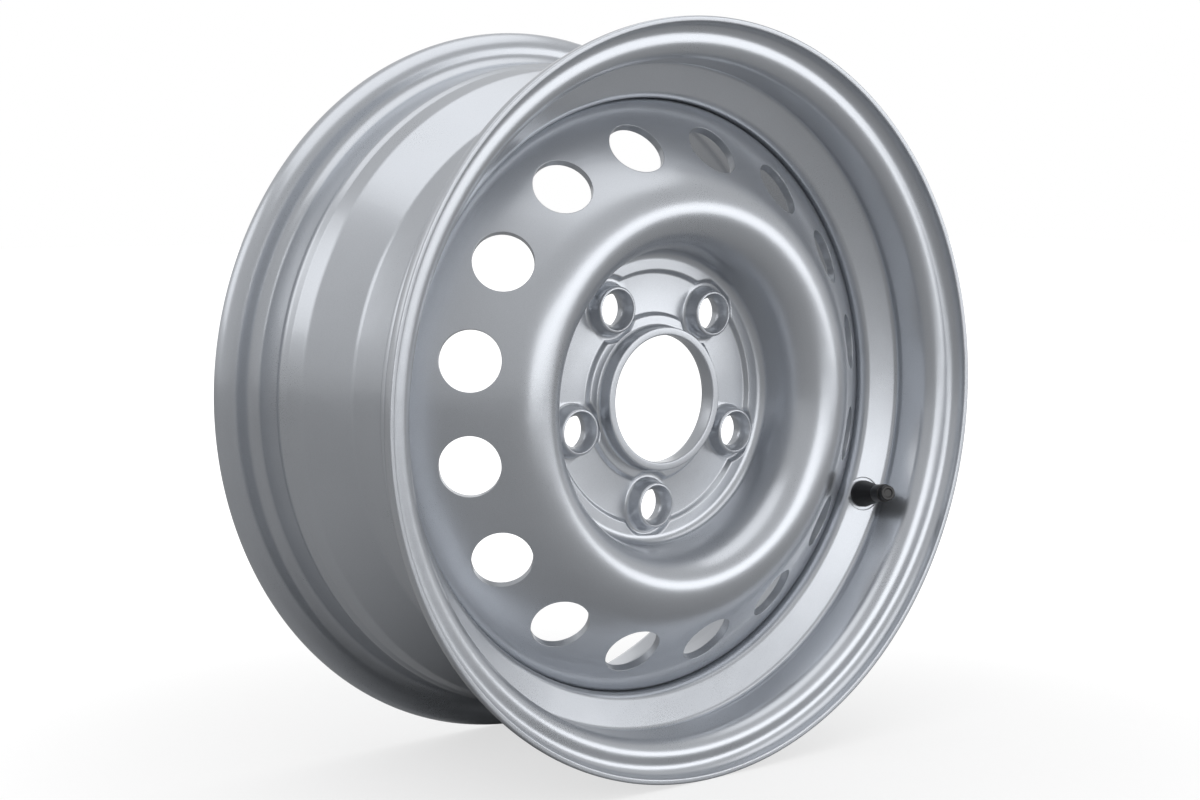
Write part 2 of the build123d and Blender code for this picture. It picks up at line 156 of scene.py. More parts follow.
class DiscSizes(bpy.types.PropertyGroup):
    """Section, vents and bosses of the pressed disc."""

    sheet: length("Sheet", "Thickness of the pressed sheet", 0.0042)
    bore: length("Bore radius", "Inside of the collar", MOUNTS["centre_bore"]["dims"]["r_mm"] * MM)
    collar: length("Collar height", "Collar's end, outboard of the hub face", 0.0152)
    step: length("Pad step", "How far the rings stand outboard of the pad", 0.0024)
    step_run: length("Step run", "Radial run of each step", 0.0016)
    inner_ring: length("Inner ring", "Flat from the collar's wall to the inner step", 0.0057)
    pad_width: length("Pad width", "Radial width of the pad", 0.0206)
    outer_ring: length("Outer ring", "Flat from the outer step to the bowl's foot", 0.0099)
    bowl_lean: angle("Bowl lean", "Bowl's wall, from the axial direction", 6.0)
    crown: length("Crown radius", "Front radius of the crown", 0.0245)
    cone: angle("Cone", "Vent band, from the radial direction", 39.0)
    skirt_fit: length("Skirt fit", "Gap between skirt and well", 0.0001)
    skirt_corner: length("Skirt corner", "Where the vent band meets the skirt's wall", -0.0016)
    skirt_end: length("Skirt end", "Inboard end of the skirt", 0.022)
    vents: count("Vents", "Round vents in the cone", 16)
    vent_radius: length("Vent radius", "Radius of a vent", 0.0152)
    vent_inset: length("Vent inset", "Vents' centres, in from the skirt's wall", 0.0242)
    vent_first: angle("First vent", "From +Z towards +X", -10.72)
    bolts: count("Bolts", "Bolt bosses", BOLTS["count"])
    bolt_circle: length("Bolt circle", "Radius of the bolt circle", BOLTS["pcd_mm"] * MM / 2)
    bolt_hole: length("Bolt hole", "Radius of a bolt hole", BOLTS["hole_r_mm"] * MM)
    bolt_first: angle("First bolt", "From +Z towards +X", -32.24)
    boss_height: length("Boss height", "Boss top, outboard of the hub face", 0.0128)
    boss_top: length("Boss top", "Radius of the boss's top", 0.012)
    boss_draft: angle("Boss draft", "Lean of the boss's wall", 8.0)
    seat_mouth: length("Seat mouth", "Radius of the conical seat's mouth", 0.0106)
    lobe: length("Lobe", "Radius of the flat round each boss", 0.017)
    lobe_from_collar: length("Lobe to collar", "Least gap from the collar's wall to a lobe", 0.0019)
    lobe_from_bowl: length("Lobe to bowl", "Least gap from the bowl's foot to a lobe", 0.0046)
    collar_round: length("Collar round", "Bend radius at the collar's foot", 0.0018)
    step_round: length("Step round", "Radius of the pad's steps", 0.001)
    bowl_round: length("Bowl round", "Bend radius at the bowl's foot", 0.005)
    skirt_round: length("Skirt round", "Bend radius inside the skirt's corner", 0.0008)
    boss_foot: length("Boss foot", "Round at the boss's foot", 0.002)
    boss_lip: length("Boss lip", "Round at the boss's top", 0.0012)
    seat_angle: angle("Seat angle", "Bolt seat's wall, from its axis", 30.0)
    hollow: length("Hollow", "Radius of the hollow behind a boss", 0.0094)
    hollow_depth: length("Hollow depth", "Depth of the hollow behind a boss", 0.0056)
    hollow_round: length("Hollow round", "Round in the hollow's bottom", 0.0012)


class ValveSizes(bpy.types.PropertyGroup):
    """Snap-in valve; heights run out along its axis from its seat."""

    seat_radius: length("Seat radius", "Coined flat round the valve hole", 0.0093)
    seat_depth: length("Seat depth", "Depth of the coined flat", 0.0005)
    hole: length("Hole radius", "Valve hole in the rim", 0.00575)
    collar: length("Collar radius", "Rubber collar on the seat", 0.0075)
    top: length("Top radius", "Rubber at its outer end", 0.0046)
    height: length("Rubber height", "Rubber's outer end", 0.019)
    fit: length("Fit", "Gap between rubber and rim", 0.00005)
    bore: length("Bore", "Rubber's bore, round the stem", 0.00303)
    collar_height: length("Collar height", "Top of the collar", 0.0024)
    bulb: length("Bulb radius", "Rubber behind the rim", 0.0072)
    bulb_length: length("Bulb length", "Straight part of the bulb", 0.003)
    tip: length("Tip radius", "Rubber's inner end", 0.0048)
    tip_length: length("Tip length", "Rim to the rubber's inner end", 0.01)
    cap: length("Cap radius", "Cap's skirt", 0.005)
    cap_bore: length("Cap bore", "Inside of the cap", 0.00395)
    cap_gap: length("Cap gap", "Rubber's end to the cap's foot", 0.0007)
    cap_end: length("Cap end", "Radius of the cap's narrow end", 0.0042)
    cap_end_height: length("Cap end height", "Height of the cap's narrow end", 0.0042)
    cap_roof: length("Cap roof", "Thickness of the cap's end", 0.0016)
    cap_dish: length("Cap dish", "Radius of the dish in the cap's end", 0.0026)
    dish_depth: length("Dish depth", "Depth of the dish", 0.0005)
    cap_height: length("Cap height", "Cap's outer end", 0.033)
    thread_pitch: length("Thread pitch", "Pitch of the stem's outer thread", 0.000794)
    spring_coil: length("Spring coil", "Radius of the core spring, to the wire's middle", 0.00105)
    spring_wire: length("Spring wire", "Radius of the spring's wire", 0.00012)
    spring_turns: count("Spring turns", "Turns of the core spring", 6)


class FinishColours(bpy.types.PropertyGroup):
    """Colours and gloss of the finishes."""

    paint: colour("Paint", "Silver-grey wheel paint", (0.555, 0.58, 0.62))
    paint_roughness: share("Paint roughness", "Spread of the paint's reflections", 0.3)
    paint_metal: share("Paint metal", "Share of metal flake in the paint", 0.8)
    rubber: colour("Rubber", "Valve rubber", (0.012, 0.012, 0.013))
    plastic: colour("Plastic", "Valve cap", (0.016, 0.016, 0.017))
    brass: colour("Brass", "Valve stem and core", (0.72, 0.52, 0.24))
    steel: colour("Steel", "Spring wire", (0.55, 0.55, 0.57))
    floor: colour("Floor", "Paper, as it lights the wheel from below", (0.35, 0.35, 0.35))


class StageSizes(bpy.types.PropertyGroup):
    """Camera and lamps."""

    lens: bpy.props.FloatProperty(name="Lens", description="Focal length in millimetres", default=64.58)
    camera: bpy.props.FloatVectorProperty(
        name="Camera",
        description="Camera's place",
        default=(-0.7276, -0.8597, 0.1103),
        subtype="XYZ",
        unit="LENGTH",
    )
    azimuth: angle("Azimuth", "Camera's turn about the vertical", -39.0)
    elevation: angle("Elevation", "Camera's height above the horizon", 5.68)
    sky: brightness("Sky", "Even light all round", 0.6)
    top_light: brightness("Top light", "Softbox overhead", 0.85)
    front_light: brightness("Front light", "Wide softbox in front, to the right", 1.6)
    right_light: brightness("Right light", "Softbox behind, to the right", 0.55)
    left_light: brightness("Left light", "Softbox behind, to the left", 0.95)


class WheelSettings(bpy.types.PropertyGroup):
    """All the settings of the wheel."""

    rim: bpy.props.PointerProperty(type=RimSizes)
    disc: bpy.props.PointerProperty(type=DiscSizes)
    valve: bpy.props.PointerProperty(type=ValveSizes)
    finish: bpy.props.PointerProperty(type=FinishColours)
    stage: bpy.props.PointerProperty(type=StageSizes)


class Value:
    """A socket in a finish's node tree; arithmetic on it adds Math nodes."""

    def __init__(self, finish, socket):
        self.finish = finish
        self.socket = socket

    def maths(self, operation, *others):
        sockets = dict(enumerate((self, *others)))
        return self.finish.node("ShaderNodeMath", {"operation": operation}, sockets)

    def reflected(self, operation, other):
        return self.finish.node("ShaderNodeMath", {"operation": operation}, {0: other, 1: self})

    def __add__(self, other):
        return self.maths("ADD", other)

    def __sub__(self, other):
        return self.maths("SUBTRACT", other)

    def __mul__(self, other):
        return self.maths("MULTIPLY", other)

    def __truediv__(self, other):
        return self.maths("DIVIDE", other)

    def __radd__(self, other):
        return self.reflected("ADD", other)

    def __rsub__(self, other):
        return self.reflected("SUBTRACT", other)

    def __rmul__(self, other):
        return self.reflected("MULTIPLY", other)

    def __rtruediv__(self, other):
        return self.reflected("DIVIDE", other)


class Finish:
    """A material with one surface shader, built from expressions on its sockets."""

    def __init__(self, name, **constants):
        self.material = bpy.data.materials.new(name)
        self.material.use_nodes = True
        self.tree = self.material.node_tree
        self.shader = self.tree.nodes["Principled BSDF"]
        self.set(**constants)

    def set(self, **sockets):
        for name, value in sockets.items():
            self.put(self.shader.inputs[name.replace("_", " ")], value)

    def put(self, socket, value):
        if isinstance(value, Value):
            self.tree.links.new(value.socket, socket)
        else:
            socket.default_value = value

    def node(self, kind, settings=None, sockets=None, out=0):
        made = self.tree.nodes.new(kind)
        for name, value in (settings or {}).items():
            setattr(made, name, value)
        for name, value in (sockets or {}).items():
            self.put(made.inputs[name], value)
        return Value(self, made.outputs[out])

    def place(self):
        return self.node("ShaderNodeTexCoord", out="Object")

    def axes(self):
        place = self.place()
        return [self.node("ShaderNodeSeparateXYZ", None, {"Vector": place}, out=i) for i in range(3)]

    def noise(self, scale, detail=2.0, roughness=0.5):
        sockets = {"Vector": self.place(), "Scale": scale, "Detail": detail, "Roughness": roughness}
        return self.node("ShaderNodeTexNoise", {"noise_dimensions": "3D"}, sockets, out="Fac")

    def band(self, value, low, high):
        settings = {"interpolation_type": "SMOOTHSTEP"}
        return self.node("ShaderNodeMapRange", settings, {"Value": value, "From Min": low, "From Max": high})

    def tint(self, factor, first, second):
        settings = {"data_type": "RGBA"}
        sockets = {"Factor": factor, 6: (*first, 1.0), 7: (*second, 1.0)}
        return self.node("ShaderNodeMix", settings, sockets, out=2)

    def bump(self, height, strength=1.0, distance=1.0, normal=None):
        sockets = {"Height": height, "Strength": strength, "Distance": distance}
        if normal is not None:
            sockets["Normal"] = normal
        return self.node("ShaderNodeBump", None, sockets)

    def rounded(self, radius):
        return self.node("ShaderNodeBevel", {"samples": 6}, {"Radius": radius})


def settings():
    return bpy.context.scene.trailer_wheel


def dimmed(value, factor):
    return tuple(channel * factor for channel in value)


def silver_paint(name="silver_paint", relief=None):
    """Silver-grey metallic paint with fine flake on slightly wavy sheet, over a relief if one is given."""
    made = bpy.data.materials.get(name)
    if made:
        return made
    colours = settings().finish
    finish = Finish(name, Metallic=colours.paint_metal, Specular_IOR_Level=0.5, Coat_Roughness=0.07)
    flake = finish.noise(3200.0, 1.0)
    cloud = finish.noise(14.0, 3.0)
    shade = finish.band(flake * 0.6 + cloud * 0.4, 0.3, 0.7)
    orange_peel = finish.noise(420.0) * 1.2e-5
    wavy_sheet = finish.noise(24.0) * 3e-4
    height = orange_peel + wavy_sheet
    if relief:
        height = height + relief(finish)
    base = tuple(colours.paint)
    finish.set(
        Base_Color=finish.tint(shade, dimmed(base, 0.94), dimmed(base, 1.05)),
        Roughness=colours.paint_roughness + (cloud - 0.5) * 0.10 + (flake - 0.5) * 0.08,
        Coat_Weight=0.4 + (cloud - 0.5) * 0.1,
        Normal=finish.bump(height, normal=finish.rounded(0.0006)),
    )
    return finish.material


def weld_scales(finish):
    """Scales along a weld seam, which runs round the wheel."""
    across, _, up = finish.axes()
    turn = across.maths("ARCTAN2", up)
    scales_round = 620.0  # full circle, in radians of the ripple
    return (turn * scales_round + finish.noise(300.0) * 2.5).maths("SINE") * 2e-4


def stem_thread(finish):
    """Screw thread about the valve's axis."""
    place = finish.place()
    dot = {"operation": "DOT_PRODUCT"}
    across, along, out = (
        finish.node("ShaderNodeVectorMath", dot, {0: place, 1: row.xyz}, out="Value") + row.w
        for row in valve_place().inverted()[:3]
    )
    pitch = settings().valve.thread_pitch
    return (out * (2 * math.pi / pitch) - along.maths("ARCTAN2", across)).maths("SINE") * 1.5e-4


def moulded_rubber(name):
    """Black moulded rubber with a fine matt grain."""
    finish = Finish(name, Specular_IOR_Level=0.45)
    grain = finish.noise(5200.0, 3.0)
    base = tuple(settings().finish.rubber)
    finish.set(
        Base_Color=finish.tint(grain, dimmed(base, 0.7), dimmed(base, 1.5)),
        Roughness=0.42 + (grain - 0.5) * 0.2,
        Normal=finish.bump(grain * 1.5e-5),
    )
    return finish.material


def moulded_plastic():
    """Black moulded plastic, a little glossier than the rubber."""
    finish = Finish("black_plastic", Specular_IOR_Level=0.5)
    grain = finish.noise(7000.0, 2.0)
    base = tuple(settings().finish.plastic)
    finish.set(
        Base_Color=finish.tint(grain, dimmed(base, 0.8), dimmed(base, 1.3)),
        Roughness=0.32 + (grain - 0.5) * 0.12,
        Normal=finish.bump(grain, 0.08, 0.0001),
    )
    return finish.material


def turned_metal(name, base, roughness, relief=None):
    """Small turned or drawn metal, with faint tool marks, over a relief if one is given."""
    finish = Finish(name, Metallic=1.0)
    marks = finish.noise(2600.0, 4.0, 0.6)
    height = marks * 1e-5
    if relief:
        height = height + relief(finish)
    finish.set(
        Base_Color=finish.tint(marks, dimmed(base, 0.82), dimmed(base, 1.08)),
        Roughness=roughness + (marks - 0.5) * 0.18,
        Normal=finish.bump(height),
    )
    return finish.material


def stage_paper(name, base):
    """Matt paper that the camera sees as white, with the wheel's shadow close to it."""
    finish = Finish(name, Roughness=0.9, Specular_IOR_Level=0.1, Emission_Strength=1.0)
    mottle = finish.noise(6.0, 2.0)
    reach = finish.node("ShaderNodeVectorMath", {"operation": "LENGTH"}, {0: finish.place()}, out="Value")
    seen = finish.node("ShaderNodeLightPath", out="Is Camera Ray")
    glow = seen * (0.66 + finish.band(reach, 0.3, 0.8) * 0.34)
    finish.set(
        Base_Color=finish.tint(mottle, dimmed(base, 0.985), base),
        Emission_Color=finish.tint(glow, (0, 0, 0), (1, 1, 1)),
    )
    return finish.material


def sheet_corners(bends, sheet):
    """Corners of a bent sheet's closed section, along its front and back along its other side.

    A bend's radius is the one on its inside; a coined corner has that radius on both sides.
    """
    points = [Vector((bend.r, bend.y)) for bend in bends]
    runs = [(end - start).normalized() for start, end in zip(points, points[1:])]
    across = [Vector((-run.y, run.x)) for run in runs]
    front = [Corner(*points[0], EDGE_ROUND)]
    back = [Corner(*(points[0] + across[0] * sheet), EDGE_ROUND)]
    for i in range(1, len(bends) - 1):
        reach = sheet / (1 + across[i - 1].dot(across[i]))
        shifted = points[i] + (across[i - 1] + across[i]) * reach
        inside = bends[i].inside
        outside = inside if bends[i].coined else inside + sheet
        turns_back = runs[i - 1].cross(runs[i]) > 0
        front.append(Corner(*points[i], outside if turns_back else inside))
        back.append(Corner(*shifted, inside if turns_back else outside))
    front.append(Corner(*points[-1], EDGE_ROUND))
    back.append(Corner(*(points[-1] + across[-1] * sheet), EDGE_ROUND))
    return front + back[::-1]


def round_corner(bm, vert, radius):
    first, second = (edge.other_vert(vert).co - vert.co for edge in vert.link_edges)
    turn = math.pi - first.angle(second)
    bmesh.ops.bevel(
        bm,
        geom=[vert],
        offset=radius * math.tan(turn / 2),
        offset_type="OFFSET",
        segments=max(2, math.ceil(turn / ARC_STEP)),
        profile=0.5,
        affect="VERTICES",
        clamp_overlap=False,
        material=-1,
    )


def turned(corners, axis, steps, upright=False):
    """Closed solid of revolution from the corners of its section."""
    bm = bmesh.new()
    verts = [bm.verts.new((c.r, 0, c.y) if upright else (c.r, c.y, 0)) for c in corners]
    for start, end in zip(verts, verts[1:] + verts[:1]):
        bm.edges.new((start, end))
    for vert, corner in zip(verts, corners):
        if corner.radius > 0:
            round_corner(bm, vert, corner.radius)
    bmesh.ops.spin(
        bm,
        geom=bm.verts[:] + bm.edges[:],
        cent=(0, 0, 0),
        axis=axis,
        angle=2 * math.pi,
        steps=steps,
        use_merge=True,
        use_duplicate=False,
    )
    bmesh.ops.remove_doubles(bm, verts=bm.verts, dist=1e-7)
    bmesh.ops.recalc_face_normals(bm, faces=bm.faces)
    return bm


def place_at(r, y, turn, radial, axial):
    """Matrix of a place round the wheel whose Z faces along a radial and axial direction."""
    out = Vector((math.sin(turn), 0, math.cos(turn)))
    facing = (out * radial + Vector((0, axial, 0))).normalized()
    side = out.cross(Vector((0, 1, 0))).normalized()
    turned_axes = Matrix((side, facing.cross(side), facing)).transposed().to_4x4()
    return Matrix.Translation(out * r + Vector((0, y, 0))) @ turned_axes


def merged(bms):
    """One bmesh that holds all the given ones."""
    whole = bmesh.new()
    for bm in bms:
        mesh = bpy.data.meshes.new("joined")
        bm.to_mesh(mesh)
        bm.free()
        whole.from_mesh(mesh)
        bpy.data.meshes.remove(mesh)
    return whole


def copies(corners, places, steps):
    """The same turned solid at several places."""
    made = []
    for place in places:
        bm = turned(corners, (0, 0, 1), steps, upright=True)
        bmesh.ops.transform(bm, matrix=place, verts=bm.verts)
        bmesh.ops.recalc_face_normals(bm, faces=bm.faces)
        made.append(bm)
    return merged(made)


def combined(base, tool, operation):
    """Base with the tool joined to it or cut from it."""
    objects = []
    for bm in (base, tool):
        mesh = bpy.data.meshes.new("operand")
        bm.to_mesh(mesh)
        bm.free()
        obj = bpy.data.objects.new("operand", mesh)
        bpy.context.scene.collection.objects.link(obj)
        objects.append(obj)
    modifier = objects[0].modifiers.new("combine", "BOOLEAN")
    modifier.object = objects[1]
    modifier.operation = operation
    modifier.solver = "EXACT"
    depsgraph = bpy.context.evaluated_depsgraph_get()
    mesh = bpy.data.meshes.new_from_object(objects[0].evaluated_get(depsgraph))
    result = bmesh.new()
    result.from_mesh(mesh)
    bpy.data.meshes.remove(mesh)
    for obj in objects:
        mesh = obj.data
        bpy.data.objects.remove(obj)
        bpy.data.meshes.remove(mesh)
    return result


def finished(bm, name, body, material, nodes):
    """Makes a piece from its bmesh, with its finish, body and the nodes it stands for."""
    mesh = bpy.data.meshes.new(name)
    bm.to_mesh(mesh)
    bm.free()
    if not mesh.polygons:
        raise RuntimeError(f"{name} has no faces")
    mesh.materials.clear()
    mesh.materials.append(material)
    mesh.shade_smooth()
    mesh.set_sharp_from_angle(angle=SHARP_ANGLE)
    obj = bpy.data.objects.new(name, mesh)
    bpy.context.scene.collection.objects.link(obj)
    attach(obj, body)
    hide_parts(*nodes)
    return obj


def flange_side(sizes, face, inward):
    """Tyre-side corners from a flange's lip to the hump's crest; inward is +1 or -1 along Y."""
    curl_r = SEAT_R + sizes.flange_height - sizes.curl
    past = sizes.curl * (1 + math.sin(sizes.lip_drop))
    root_r = curl_r + sizes.curl * math.cos(sizes.lip_drop) + past * math.tan(sizes.lip_drop)
    lip_r = root_r - sizes.flange_width * math.tan(sizes.lip_drop)
    taper = math.tan(sizes.taper)
    return [
        Bend(lip_r, face - inward * sizes.flange_width),
        Bend(root_r, face, sizes.curl - sizes.sheet),
        Bend(SEAT_R, face, sizes.heel),
        Bend(SEAT_R - sizes.hump_start * taper, face + inward * sizes.hump_start, sizes.hump_foot),
        Bend(
            SEAT_R - sizes.hump_crest * taper + sizes.hump_rise,
            face + inward * sizes.hump_crest,
            sizes.hump_round,
        ),
    ]


def well_radius():
    return SEAT_R - settings().rim.well_depth


def skirt_radius():
    return well_radius() - settings().rim.sheet - settings().disc.skirt_fit


def valve_place():
    """Matrix of the valve's seat, with Z out along its axis."""
    seat = CAP_PIVOT - VALVE_AXIS * CAP_PIVOT_HEIGHT
    side = VALVE_AXIS.cross(Vector((0, 0, 1))).normalized()
    axes = Matrix((side, VALVE_AXIS.cross(side), VALVE_AXIS)).transposed().to_4x4()
    return Matrix.Translation(seat) @ axes


class WHEEL_OT_rim(bpy.types.Operator):
    """Rolled rim with its flanges, bead seats, humps, well and valve seat"""

    bl_idname = "trailer_wheel.rim"
    bl_label = "Rim"

    def execute(self, context):
        sizes = settings().rim
        taper = math.tan(sizes.taper)
        well_r = well_radius()
        well_front = OUTBOARD_FACE + sizes.well_front
        top_r = SEAT_R - sizes.hump_end * taper
        top = well_front - (top_r - well_r) * math.tan(sizes.wall_lean)
        bends = flange_side(sizes, OUTBOARD_FACE, 1) + [
            Bend(top_r, top, sizes.wall_top),
            Bend(well_r, well_front, sizes.wall_foot),
            Bend(well_r, INBOARD_FACE - sizes.well_rear, sizes.slope_foot),
            Bend(SEAT_R - sizes.ledge_drop, INBOARD_FACE - sizes.ledge_end, sizes.slope_top),
            Bend(top_r, INBOARD_FACE - sizes.hump_end, sizes.ledge_round),
        ]
        bends += flange_side(sizes, INBOARD_FACE, -1)[::-1]
        hoop = turned(sheet_corners(bends, sizes.sheet), (0, 1, 0), WHEEL_STEPS)
        valve = settings().valve
        reach = 0.01  # the cutter runs well past the sheet on both sides
        seat = [
            Corner(0, -reach),
            Corner(valve.hole, -reach),
            Corner(valve.hole, 0),
            Corner(valve.seat_radius, 0),
            Corner(valve.seat_radius, reach),
            Corner(0, reach),
        ]
        hoop = combined(hoop, copies(seat, [valve_place()], VALVE_STEPS), "DIFFERENCE")
        finished(hoop, "rolled_rim", "wheel", silver_paint(), ["rim"])
        return {"FINISHED"}


class WHEEL_OT_disc(bpy.types.Operator):
    """Pressed disc with its collar, pad, bolt bosses, bowl, crown, vents and skirt"""

    bl_idname = "trailer_wheel.disc"
    bl_label = "Disc"

    def execute(self, context):
        sizes = settings().disc
        disc = turned(sheet_corners(self.bends(sizes), sizes.sheet), (0, 1, 0), WHEEL_STEPS)
        self.draw_lobes(disc, sizes)
        bolts = self.bolt_places(sizes)
        disc = combined(disc, copies(self.boss(sizes), bolts, VALVE_STEPS), "UNION")
        disc = combined(disc, copies(self.passage(sizes), bolts, VALVE_STEPS), "DIFFERENCE")
        disc = combined(disc, copies(self.vent(sizes), self.vent_places(sizes), VALVE_STEPS), "DIFFERENCE")
        finished(disc, "pressed_disc", "wheel", silver_paint(), ["disc"])
        return {"FINISHED"}

    def bends(self, sizes):
        pad = -sizes.sheet
        ring = pad - sizes.step
        wall_r = sizes.bore + sizes.sheet
        inner = wall_r + sizes.inner_ring
        outer = inner + sizes.step_run + sizes.pad_width
        bowl = outer + sizes.step_run + sizes.outer_ring
        lean = math.tan(sizes.bowl_lean)
        rise = math.tan(sizes.cone)
        apex = sizes.skirt_corner - skirt_radius() * rise
        crown_r = (bowl + lean * (ring - apex)) / (1 + lean * rise)
        return [
            Bend(wall_r, -sizes.collar),
            Bend(wall_r, ring, sizes.collar_round),
            Bend(inner, ring, sizes.step_round, True),
            Bend(inner + sizes.step_run, pad, sizes.step_round, True),
            Bend(outer, pad, sizes.step_round, True),
            Bend(outer + sizes.step_run, ring, sizes.step_round, True),
            Bend(bowl, ring, sizes.bowl_round),
            Bend(crown_r, apex + crown_r * rise, sizes.crown - sizes.sheet),
            Bend(skirt_radius(), sizes.skirt_corner, sizes.skirt_round),
            Bend(skirt_radius(), sizes.skirt_end),
        ]

    def draw_lobes(self, bm, sizes):
        """Pulls the pad's steps round the flat of each boss, in front and behind."""
        wall_r = sizes.bore + sizes.sheet
        inner = wall_r + sizes.inner_ring + sizes.step_run / 2
        outer = inner + sizes.step_run + sizes.pad_width
        least = wall_r + sizes.lobe_from_collar
        most = outer + sizes.step_run / 2 + sizes.outer_ring - sizes.lobe_from_bowl
        slack = 0.0017  # half the width of the rows that belong to a step
        crowded = 0.2  # share of their spacing that the rows keep at a limit
        behind = sizes.sheet * 0.535  # how far the steps' backs lie from their fronts
        near = 1e-5
        for vert in bm.verts:
            r = math.hypot(vert.co.x, vert.co.z)
            on_front = -sizes.sheet - sizes.step - near < vert.co.y < -sizes.sheet + near
            on_back = -sizes.step - near < vert.co.y < near
            if not (on_front or on_back):
                continue
            shift = behind if on_back else 0.0
            from_inner = r - (inner - shift)
            from_outer = r - (outer + shift)
            if abs(from_inner) < slack:
                edge = self.lobe_edge(sizes, vert, sizes.lobe - from_inner, -1, r)
                new = min(r, max(edge, least + from_inner * crowded))
            elif abs(from_outer) < slack:
                edge = self.lobe_edge(sizes, vert, sizes.lobe + from_outer, 1, r)
                new = max(r, min(edge, most + from_outer * crowded))
            else:
                continue
            vert.co.x *= new / r
            vert.co.z *= new / r

    def lobe_edge(self, sizes, vert, radius, side, otherwise):
        """Radius at which a ray through the vertex crosses the near or far side of a lobe."""
        pitch = 2 * math.pi / sizes.bolts
        turn = math.atan2(vert.co.x, vert.co.z) - sizes.bolt_first
        turn = (turn + pitch / 2) % pitch - pitch / 2
        reach = radius**2 - (sizes.bolt_circle * math.sin(turn)) ** 2
        if reach < 0:
            return otherwise
        return sizes.bolt_circle * math.cos(turn) + side * math.sqrt(reach)

    def bolt_places(self, sizes):
        turns = [sizes.bolt_first + i * 2 * math.pi / sizes.bolts for i in range(sizes.bolts)]
        return [place_at(sizes.bolt_circle, 0, turn, 0, -1) for turn in turns]

    def vent_places(self, sizes):
        r = skirt_radius() - sizes.vent_inset
        y = sizes.skirt_corner - sizes.vent_inset * math.tan(sizes.cone)
        turns = [sizes.vent_first + i * 2 * math.pi / sizes.vents for i in range(sizes.vents)]
        return [place_at(r, y, turn, math.sin(sizes.cone), -math.cos(sizes.cone)) for turn in turns]

    def vent(self, sizes):
        reach = 2.4 * sizes.sheet
        return [
            Corner(0, -reach),
            Corner(sizes.vent_radius, -reach),
            Corner(sizes.vent_radius, reach),
            Corner(0, reach),
        ]

    def boss(self, sizes):
        sunk = sizes.sheet / 2
        floor = sizes.sheet - 0.00005  # just under the pad, so that only the round shows
        flare = 0.003
        foot = sizes.boss_top + (sizes.boss_height - sizes.sheet) * math.tan(sizes.boss_draft)
        return [
            Corner(0, sunk),
            Corner(foot + flare, sunk),
            Corner(foot + flare, floor),
            Corner(foot, floor, sizes.boss_foot),
            Corner(sizes.boss_top, sizes.boss_height, sizes.boss_lip),
            Corner(0, sizes.boss_height),
        ]

    def passage(self, sizes):
        past = 0.001  # the cutter runs past the boss's top and the pad's back
        hollow, depth = sizes.hollow, sizes.hollow_depth
        draft = math.tan(sizes.boss_draft)
        seat = math.tan(sizes.seat_angle)
        return [
            Corner(0, -past),
            Corner(hollow + (depth + past) * draft, -past),
            Corner(hollow, depth, sizes.hollow_round),
            Corner(sizes.bolt_hole, depth),
            Corner(sizes.bolt_hole, sizes.boss_height - (sizes.seat_mouth - sizes.bolt_hole) / seat),
            Corner(sizes.seat_mouth + past * seat, sizes.boss_height + past),
            Corner(0, sizes.boss_height + past),
        ]


class WHEEL_OT_valve(bpy.types.Operator):
    """Valve rubber and screw cap"""

    bl_idname = "trailer_wheel.valve"
    bl_label = "Valve"

    def execute(self, context):
        sizes = settings().valve
        rubber = copies(self.rubber(sizes), [valve_place()], VALVE_STEPS)
        finish = moulded_rubber("black_rubber")
        finished(rubber, "valve_body", "wheel", finish, ["valve_rubber"])
        cap = copies(self.cap(sizes), [valve_place()], VALVE_STEPS)
        finished(cap, "screw_cap", "cap", moulded_plastic(), ["valve_cap"])
        return {"FINISHED"}

    def rubber(self, sizes):
        behind = sizes.seat_depth - settings().rim.sheet - sizes.fit
        groove = sizes.hole - sizes.fit
        return [
            Corner(sizes.bore, behind - sizes.tip_length),
            Corner(sizes.tip, behind - sizes.tip_length, 0.001),
            Corner(sizes.bulb, behind - sizes.bulb_length, 0.001),
            Corner(sizes.bulb, behind, 0.0013),
            Corner(groove, behind),
            Corner(groove, sizes.fit),
            Corner(sizes.collar, sizes.fit, 0.0006),
            Corner(sizes.collar, sizes.collar_height, 0.001),
            Corner(sizes.top, sizes.height, 0.0008),
            Corner(sizes.bore, sizes.height),
        ]

    def cap(self, sizes):
        foot = sizes.height + sizes.cap_gap
        top = sizes.cap_height
        shoulder = top - sizes.cap_end_height
        dish_foot = sizes.cap_dish - 0.0004
        return [
            Corner(0, top - sizes.cap_roof),
            Corner(sizes.cap_bore, top - sizes.cap_roof),
            Corner(sizes.cap_bore, foot),
            Corner(sizes.cap, foot, 0.0004),
            Corner(sizes.cap, shoulder, 0.0006),
            Corner(sizes.cap_end, shoulder, 0.0003),
            Corner(sizes.cap_end, top, 0.0006),
            Corner(sizes.cap_dish, top, 0.0002),
            Corner(dish_foot, top - sizes.dish_depth, 0.0003),
            Corner(0, top - 0.8 * sizes.dish_depth),
        ]


